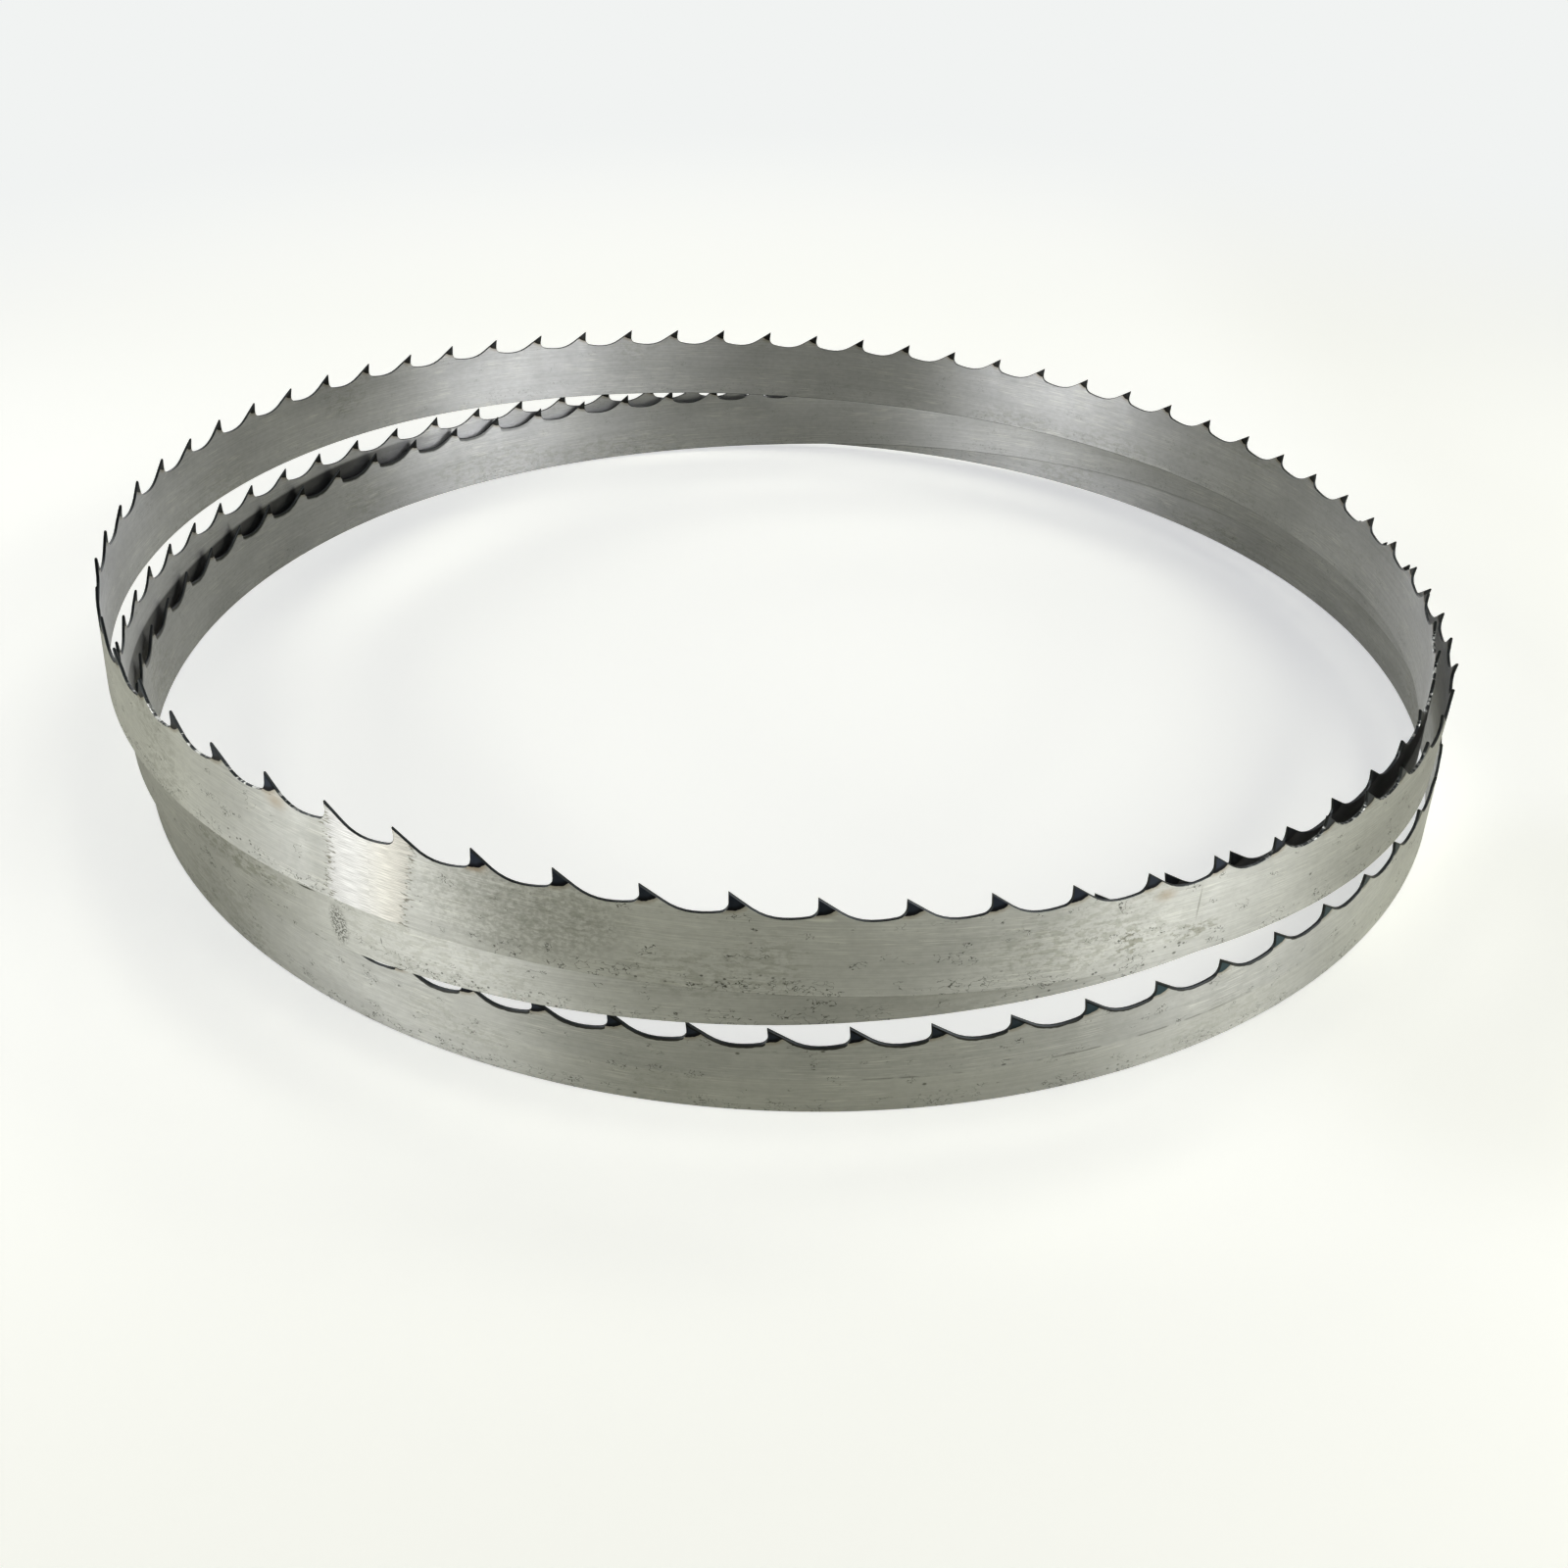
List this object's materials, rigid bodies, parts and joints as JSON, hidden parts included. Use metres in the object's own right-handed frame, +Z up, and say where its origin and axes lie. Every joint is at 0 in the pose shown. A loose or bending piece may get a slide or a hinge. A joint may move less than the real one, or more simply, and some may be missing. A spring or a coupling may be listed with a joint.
{
  "type": "band saw blade",
  "caption": "Endless welded band of flat spring steel with hooked, set teeth along one edge, folded into loops for storage; it runs over a band saw's wheels to cut timber.",
  "frame": {"origin": "middle of the coil's outer size, on the floor that its back edge stands on", "axes": "+Z up, the way the teeth point; -Y towards the front of the coil, where its loops lie apart; +X to the right seen from there"},
  "size_m": [0.478, 0.4894, 0.0927],
  "materials": {
    "saw_blade": "satin cold-rolled spring steel, tooth tips hardened blue-black"
  },
  "bodies": {
    "root": {"saw_blade": "saw_blade"}
  },
  "joints": []
}
